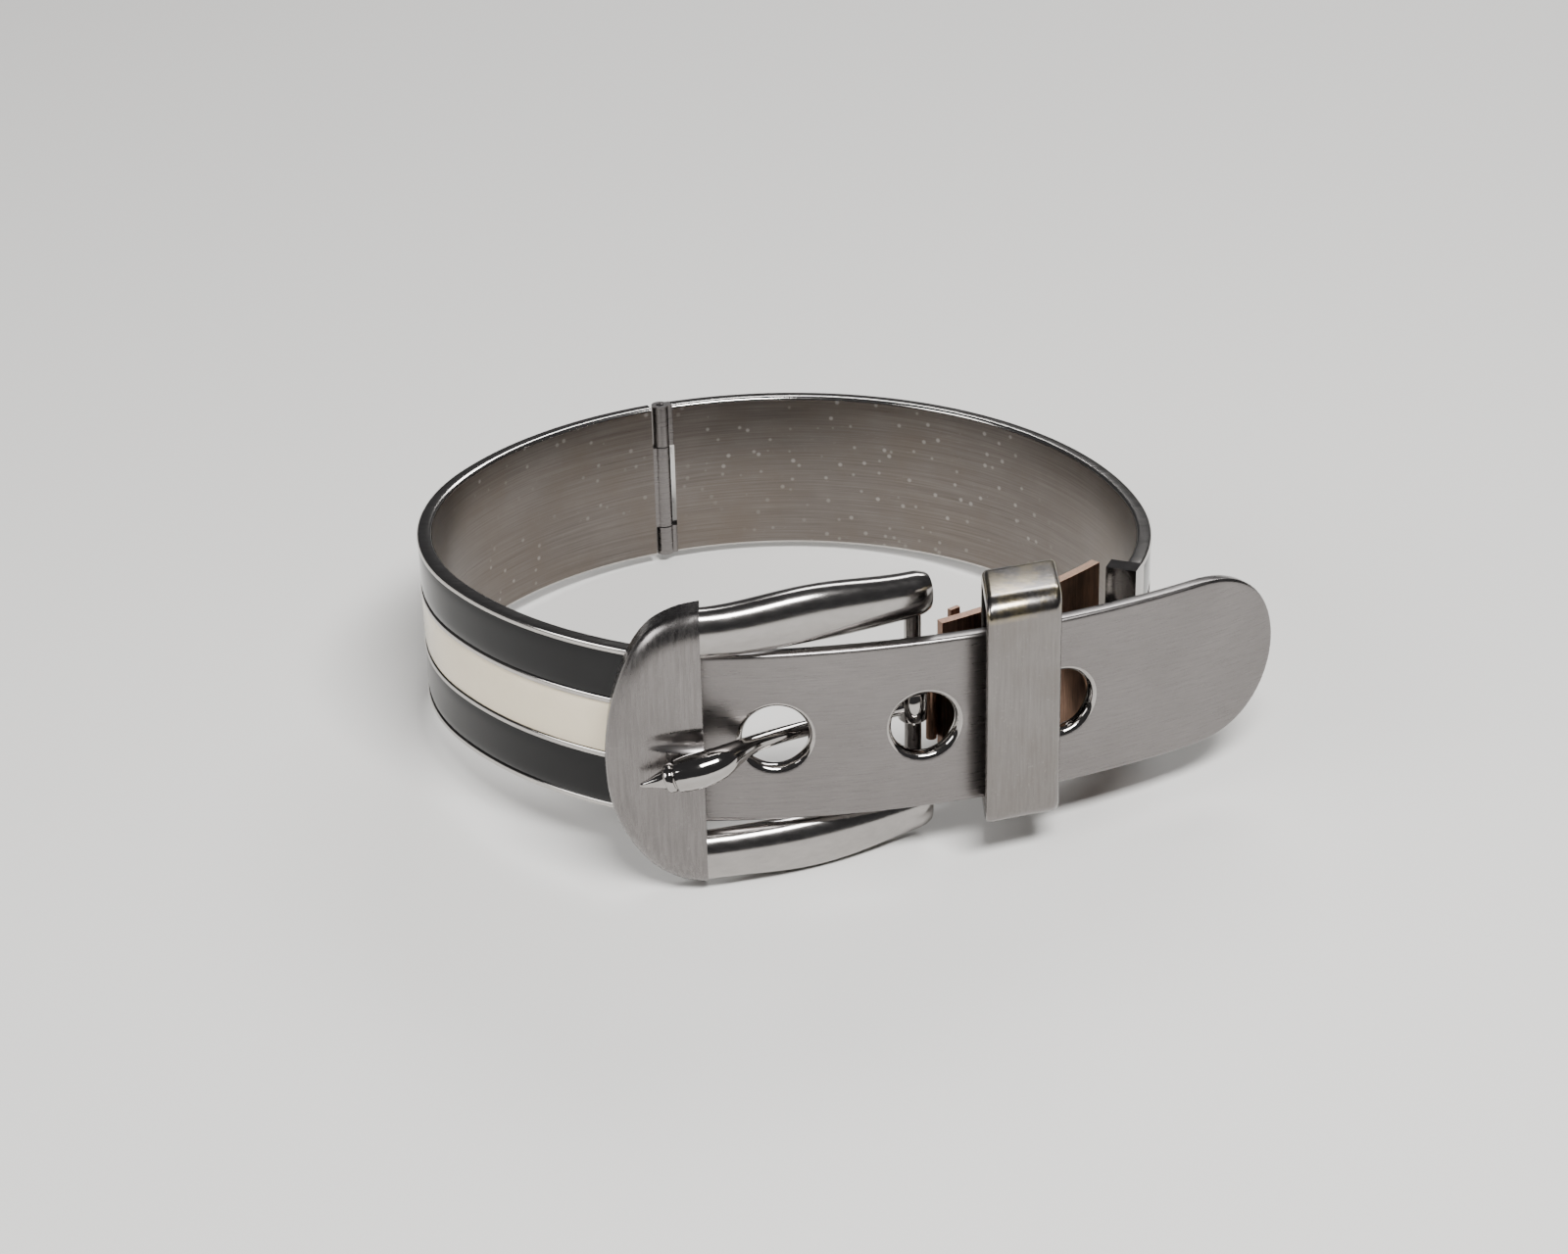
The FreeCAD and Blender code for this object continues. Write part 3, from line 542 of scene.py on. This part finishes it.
# ------------------------------------------------------------------ prong
DR = math.tan(math.radians(5.5))
PRG = [(9.7, -14.55, 0.72, 0.0), (7.5, -15.25, 0.69, 0.0), (4.6, -16.0, 0.66, 0.0), (2.4, -16.7, 0.65, 0.12),
       (1.0, -17.4, 0.65, 0.35), (-0.9, -18.95, 0.66, 0.85), (-2.75, -20.75, 0.74, 1.35), (-4.3, -22.45, 1.04, 1.55),
       (-5.4, -23.5, 1.32, 1.52), (-6.7, -24.0, 1.44, 1.38), (-7.9, -24.05, 1.42, 1.2), (-8.6, -24.05, 1.34, 1.08)]


def pz(x):
    return 7.5 - (10.3 - x) * DR


def catmull(P, n):
    out = []
    for i in range(len(P) - 1):
        p0, p1, p2, p3 = P[max(i - 1, 0)], P[i], P[i + 1], P[min(i + 2, len(P) - 1)]
        for k in range(n):
            t = k / n
            out.append(tuple(0.5 * (2 * p1[c] + (p2[c] - p0[c]) * t + (2 * p0[c] - 5 * p1[c] + 4 * p2[c] - p3[c]) * t * t
                                    + (3 * p1[c] - p0[c] - 3 * p2[c] + p3[c]) * t ** 3) for c in range(4)))
    out.append(P[-1])
    return out


pts = catmull(PRG, 6)
tip_dir = Vector((-1, 0.1, -0.31)).normalized()
cl = [(Vector((x, y, pz(x) + rise)), r) for x, y, r, rise in pts]
last = cl[-1][0]
for d, r in ((0.05, 1.24), (0.1, 1.12), (0.16, 1.06), (0.24, 1.06), (0.3, 1.14), (0.38, 1.19), (0.5, 1.21), (0.75, 1.21), (0.86, 1.18),
             (0.93, 1.1), (0.97, 0.98), (1.0, 0.86), (1.06, 0.82), (1.6, 0.64),
             (2.2, 0.42), (2.8, 0.26), (3.1, 0.18), (3.22, 0.10), (3.26, 0.03)):
    cl.append((last + tip_dir * d, r))
rows = []
for i, (p, r) in enumerate(cl):
    t = (cl[min(i + 1, len(cl) - 1)][0] - cl[max(i - 1, 0)][0]).normalized()
    if i >= len(pts) - 1:
        t = tip_dir
    side = Vector((0, 0, 1)).cross(t).normalized()
    up = t.cross(side).normalized()
    rows.append([p + side * (r * math.cos(2 * math.pi * j / 28)) + up * (r * math.sin(2 * math.pi * j / 28)) for j in range(28)])
bm = bmesh.new()
loft(bm, rows)
eye = []
for rr, zz in ((0.73, -1.2), (0.80, -1.3), (1.10, -1.3), (1.2, -1.2), (1.2, 1.2), (1.10, 1.3), (0.80, 1.3), (0.73, 1.2)):
    eye.append((rr, zz))
rows = []
for j in range(40):
    a = 2 * math.pi * j / 40
    rows.append([BAR + Vector((r * math.cos(a), r * math.sin(a), z)) for r, z in eye])
loft(bm, rows, closed=True)
prong = finish_mesh("prong_tongue", bm, [POLISH], 45)
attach(prong, "prong_body")
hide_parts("prong")

# ------------------------------------------------------------------ buckle crescent
CI = -6.6
GZ = 8.8
CO = [(CI, 19.75), (-8.6, 19.3), (-10.7, 18.1), (-12.3, 15.9), (-13.5, 12.9), (-14.25, 9.6), (-14.45, 6.3),
      (-14.1, 2.9), (-13.0, -0.1), (-11.2, -2.7), (-9.0, -4.2), (CI, -4.75)]


def smooth2(P, n):
    out = []
    for i in range(len(P) - 1):
        p0, p1, p2, p3 = P[max(i - 1, 0)], P[i], P[i + 1], P[min(i + 2, len(P) - 1)]
        for k in range(n):
            t = k / n
            out.append(Vector([0.5 * (2 * p1[c] + (p2[c] - p0[c]) * t + (2 * p0[c] - 5 * p1[c] + 4 * p2[c] - p3[c]) * t * t
                                      + (3 * p1[c] - p0[c] - 3 * p2[c] + p3[c]) * t ** 3) for c in range(2)]))
    out.append(Vector(P[-1]))
    return out


fine = smooth2(CO, 40)
run = [0.0]
for i in range(1, len(fine)):
    run.append(run[-1] + (fine[i] - fine[i - 1]).length)
NT, NK = 260, 34


def at_run(d):
    lo, hi = 0, len(run) - 1
    while hi - lo > 1:
        mid = (lo + hi) // 2
        if run[mid] <= d:
            lo = mid
        else:
            hi = mid
    f = (d - run[lo]) / max(1e-9, run[hi] - run[lo])
    return fine[lo].lerp(fine[hi], min(1, max(0, f)))


edge_line = [at_run(run[-1] * i / NT) for i in range(NT + 1)]


def off_edge(p):
    best = 1e9
    for i in range(NT):
        a, b = edge_line[i], edge_line[i + 1]
        ab = b - a
        t = min(1, max(0, (p - a).dot(ab) / ab.length_squared))
        best = min(best, (p - a - ab * t).length)
    return best


def crescent_front(p, d):
    D, H = 2.6, 1.25
    y = -22.4 + 0.22 * abs((p.y - 7.5) / 12.25) ** 2
    if d < D:
        y += H * (1 - math.sqrt(max(0, 1 - (1 - d / D) ** 2.2)))
    if p.x > -11.1 and abs(p.y - GZ) < 1.3:
        axis = -22.85 - 0.12 * (-4.6 - p.x)
        g = axis + math.sqrt(1.3 ** 2 - (p.y - GZ) ** 2)
        h = max(0.16 - abs(y - g), 0) / 0.16
        y = max(y, g) + h * h * 0.04
    return y


def crescent_back(p):
    y = -19.3
    if -0.02 <= p.y <= 15.02:
        if p.x > -9.8:
            y = min(y, PCY - math.sqrt(PR_ ** 2 - (p.x - PCX) ** 2) - 0.02)
        y = min(y, C_FRONT.y - math.sqrt(RF ** 2 - (p.x - C_FRONT.x) ** 2) - 0.02) if p.x < -9.0 else y
    return y


bm = bmesh.new()
front_v, back_v = [], []
for i in range(NT + 1):
    o = edge_line[i]
    t = i / NT
    w_ = min(1, max(0, (abs(o.y - 7.5) / 12.25 - 0.35) / 0.5))
    w_ = w_ * w_ * (3 - 2 * w_)
    anchor = Vector((CI, (1 - w_) * o.y + w_ * (19.75 - 24.5 * t)))
    fr, bk = [], []
    for k in range(NK + 1):
        s_ = (k / NK) ** 1.7
        p = o.lerp(anchor, s_)
        d = off_edge(p) if k else 0.0
        fr.append(bm.verts.new(world((p.x, crescent_front(p, d), p.y))))
        bk.append(bm.verts.new(world((p.x, crescent_back(p), p.y))))
    front_v.append(fr)
    back_v.append(bk)
for i in range(NT):
    for k in range(NK):
        bm.faces.new((front_v[i][k], front_v[i + 1][k], front_v[i + 1][k + 1], front_v[i][k + 1]))
        bm.faces.new((back_v[i][k + 1], back_v[i + 1][k + 1], back_v[i + 1][k], back_v[i][k]))
    bm.faces.new((front_v[i + 1][0], front_v[i][0], back_v[i][0], back_v[i + 1][0]))
    bm.faces.new((front_v[i][NK], front_v[i + 1][NK], back_v[i + 1][NK], back_v[i][NK]))
bmesh.ops.remove_doubles(bm, verts=bm.verts, dist=0.000002)
bmesh.ops.dissolve_degenerate(bm, dist=0.000002, edges=bm.edges)
PLI = PL.inverted()
for f in bm.faces:
    q = PLI @ (f.calc_center_median() / MM)
    if -21.0 > q.y > -22.4 + 0.22 * abs((q.z - 7.5) / 12.25) ** 2 + 0.03 and -11.3 < q.x < -6.62 and abs(q.z - GZ) < 1.3:
        f.material_index = 1
crescent = finish_mesh("buckle_crescent_face", bm, [CRES, SATIN], 45)
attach(crescent, "buckle_half")
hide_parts("buckle_crescent")

# ------------------------------------------------------------------ carried-over nodes
# the clasp tongue and spring leaf take the brass material that is darkened as painted shade
USE = {"hinge_knuckle_middle": SATIN, "hinge_knuckles_outer": SATIN, "hinge_pin": POLISH, "prong_bar": POLISH,
       "strap_joint_lap": INNER, "right_band_end_cap": POLISH, "clasp_tongue": TONGUE_BRASS_WITH_PAINTED_SHADE,
       "clasp_spring_leaf": TONGUE_BRASS_WITH_PAINTED_SHADE}
for node, mat in USE.items():
    ob = frame["nodes"][node]
    for sl in ob.material_slots:
        sl.material = mat
    if not ob.material_slots:
        ob.data.materials.append(mat)

# ------------------------------------------------------------------ floor, light, camera
me = bpy.data.meshes.new("floor")
S = 3.0
me.from_pydata([(-S, -S, 0), (S, -S, 0), (S, S, 0), (-S, S, 0)], [], [(0, 1, 2, 3)])
floor = bpy.data.objects.new("floor", me)
bpy.context.scene.collection.objects.link(floor)
fm, nt, b = mat_new("floor_pale")
b.inputs["Base Color"].default_value = (0.62, 0.61, 0.59, 1)
b.inputs["Roughness"].default_value = 0.85
me.materials.append(fm)

w = bpy.data.worlds.new("studio")
bpy.context.scene.world = w
w.use_nodes = True
w.node_tree.nodes["Background"].inputs["Color"].default_value = (0.20, 0.20, 0.21, 1)
w.node_tree.nodes["Background"].inputs["Strength"].default_value = 0.35


def area_light(name, loc, target, size, size_y, power):
    li = bpy.data.lights.new(name, "AREA")
    li.shape = "RECTANGLE"
    li.size, li.size_y, li.energy = size, size_y, power
    ob = bpy.data.objects.new(name, li)
    ob.location = loc
    ob.rotation_euler = (Vector(target) - Vector(loc)).to_track_quat("-Z", "Y").to_euler()
    bpy.context.scene.collection.objects.link(ob)
    return ob


area_light("key", (0.09, -0.19, 0.365), (0, 0, 0.01), 0.24, 0.09, 3.8)
area_light("fill", (-0.45, -0.20, 0.30), (0, 0, 0.01), 0.25, 0.25, 1.6)
area_light("back", (0.15, 0.45, 0.35), (0, 0, 0.01), 0.35, 0.12, 2.0)

EL, AZ, DIST, FPX, ROLL, CX, CZ = 26.747, -0.277, 280.0, 3362.7, -1.374, 0.083, 7.499
e, a = math.radians(EL), math.radians(AZ)
back = Vector((math.sin(a) * math.cos(e), -math.cos(a) * math.cos(e), math.sin(e)))
right = Vector((math.cos(a), math.sin(a), 0))
up = back.cross(right) * 1.0
r_ = math.radians(ROLL)
r2 = right * math.cos(r_) + up * math.sin(r_)
u2 = -right * math.sin(r_) + up * math.cos(r_)
rot = Matrix((r2, u2, back)).transposed()
cam = bpy.data.cameras.new("camera")
co = bpy.data.objects.new("camera", cam)
bpy.context.scene.collection.objects.link(co)
loc = Vector((CX, 0, CZ)) + back * DIST
m3 = R_LEAN.to_3x3() @ rot
co.matrix_world = Matrix.Translation(world(loc)) @ m3.to_4x4()
cam.sensor_width = 36.0
cam.lens = FPX / 1600 * 36.0
cam.clip_start, cam.clip_end = 0.01, 20
bpy.context.scene.camera = co
